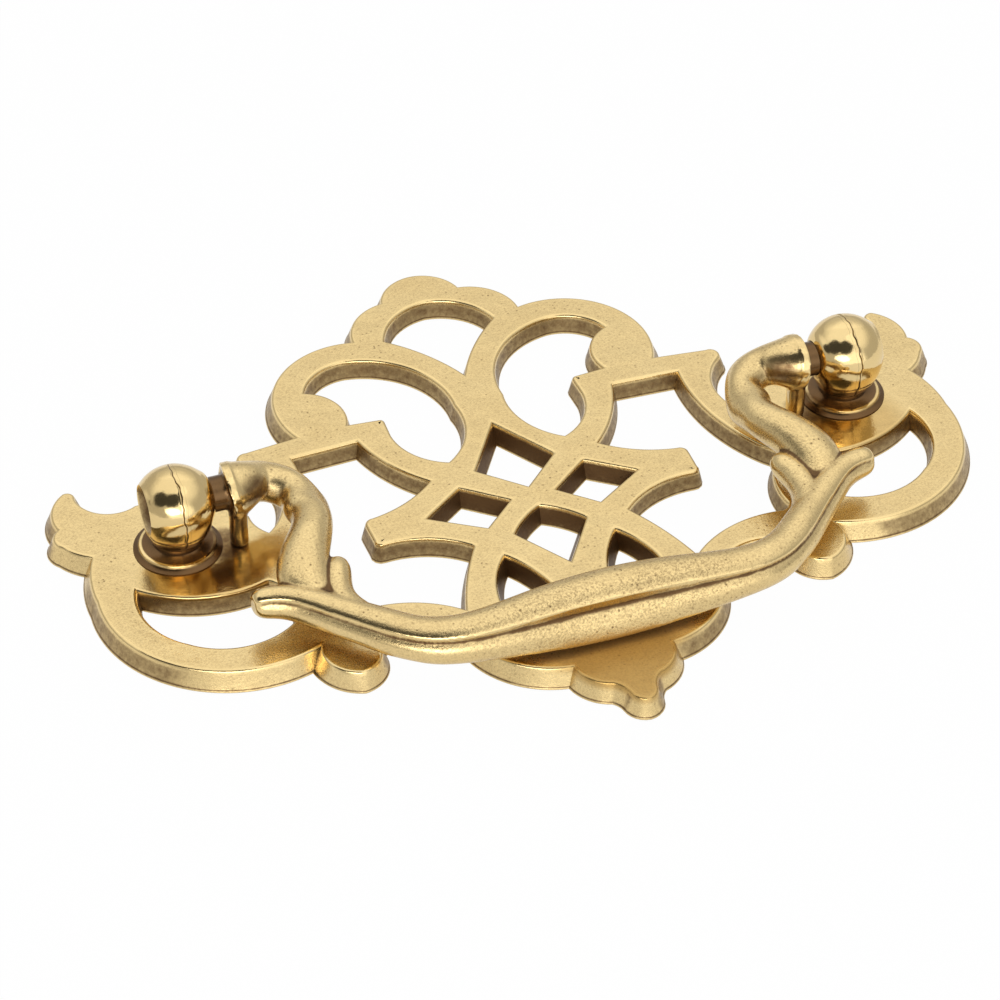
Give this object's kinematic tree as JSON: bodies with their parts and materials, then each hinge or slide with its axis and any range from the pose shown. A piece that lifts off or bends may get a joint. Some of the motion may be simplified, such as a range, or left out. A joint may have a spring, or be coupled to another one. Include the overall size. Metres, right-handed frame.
{
  "type": "backplate pull",
  "caption": "Drawer pull with a pierced strapwork backplate, ball posts and a sculpted bail that swings on pins between the balls.",
  "frame": {"origin": "midway between the post centres on the back face of the plate", "axes": "+X from the left post to the right post, +Y towards the crown, +Z out of the drawer front"},
  "size_m": [0.102, 0.0762, 0.0125],
  "materials": {
    "brass": "hand-polished satin with dark patina in the recesses"
  },
  "bodies": {
    "base": {"backplate": "brass", "left_post": "brass", "right_post": "brass"},
    "swing": {"bail": "brass"}
  },
  "joints": [
    {"name": "bail_swing", "type": "hinge", "parent": "base", "child": "swing", "pos_m": [0, 0, 0.0085], "axis": [-1, 0, 0], "range_deg": [0, 190]}
  ]
}
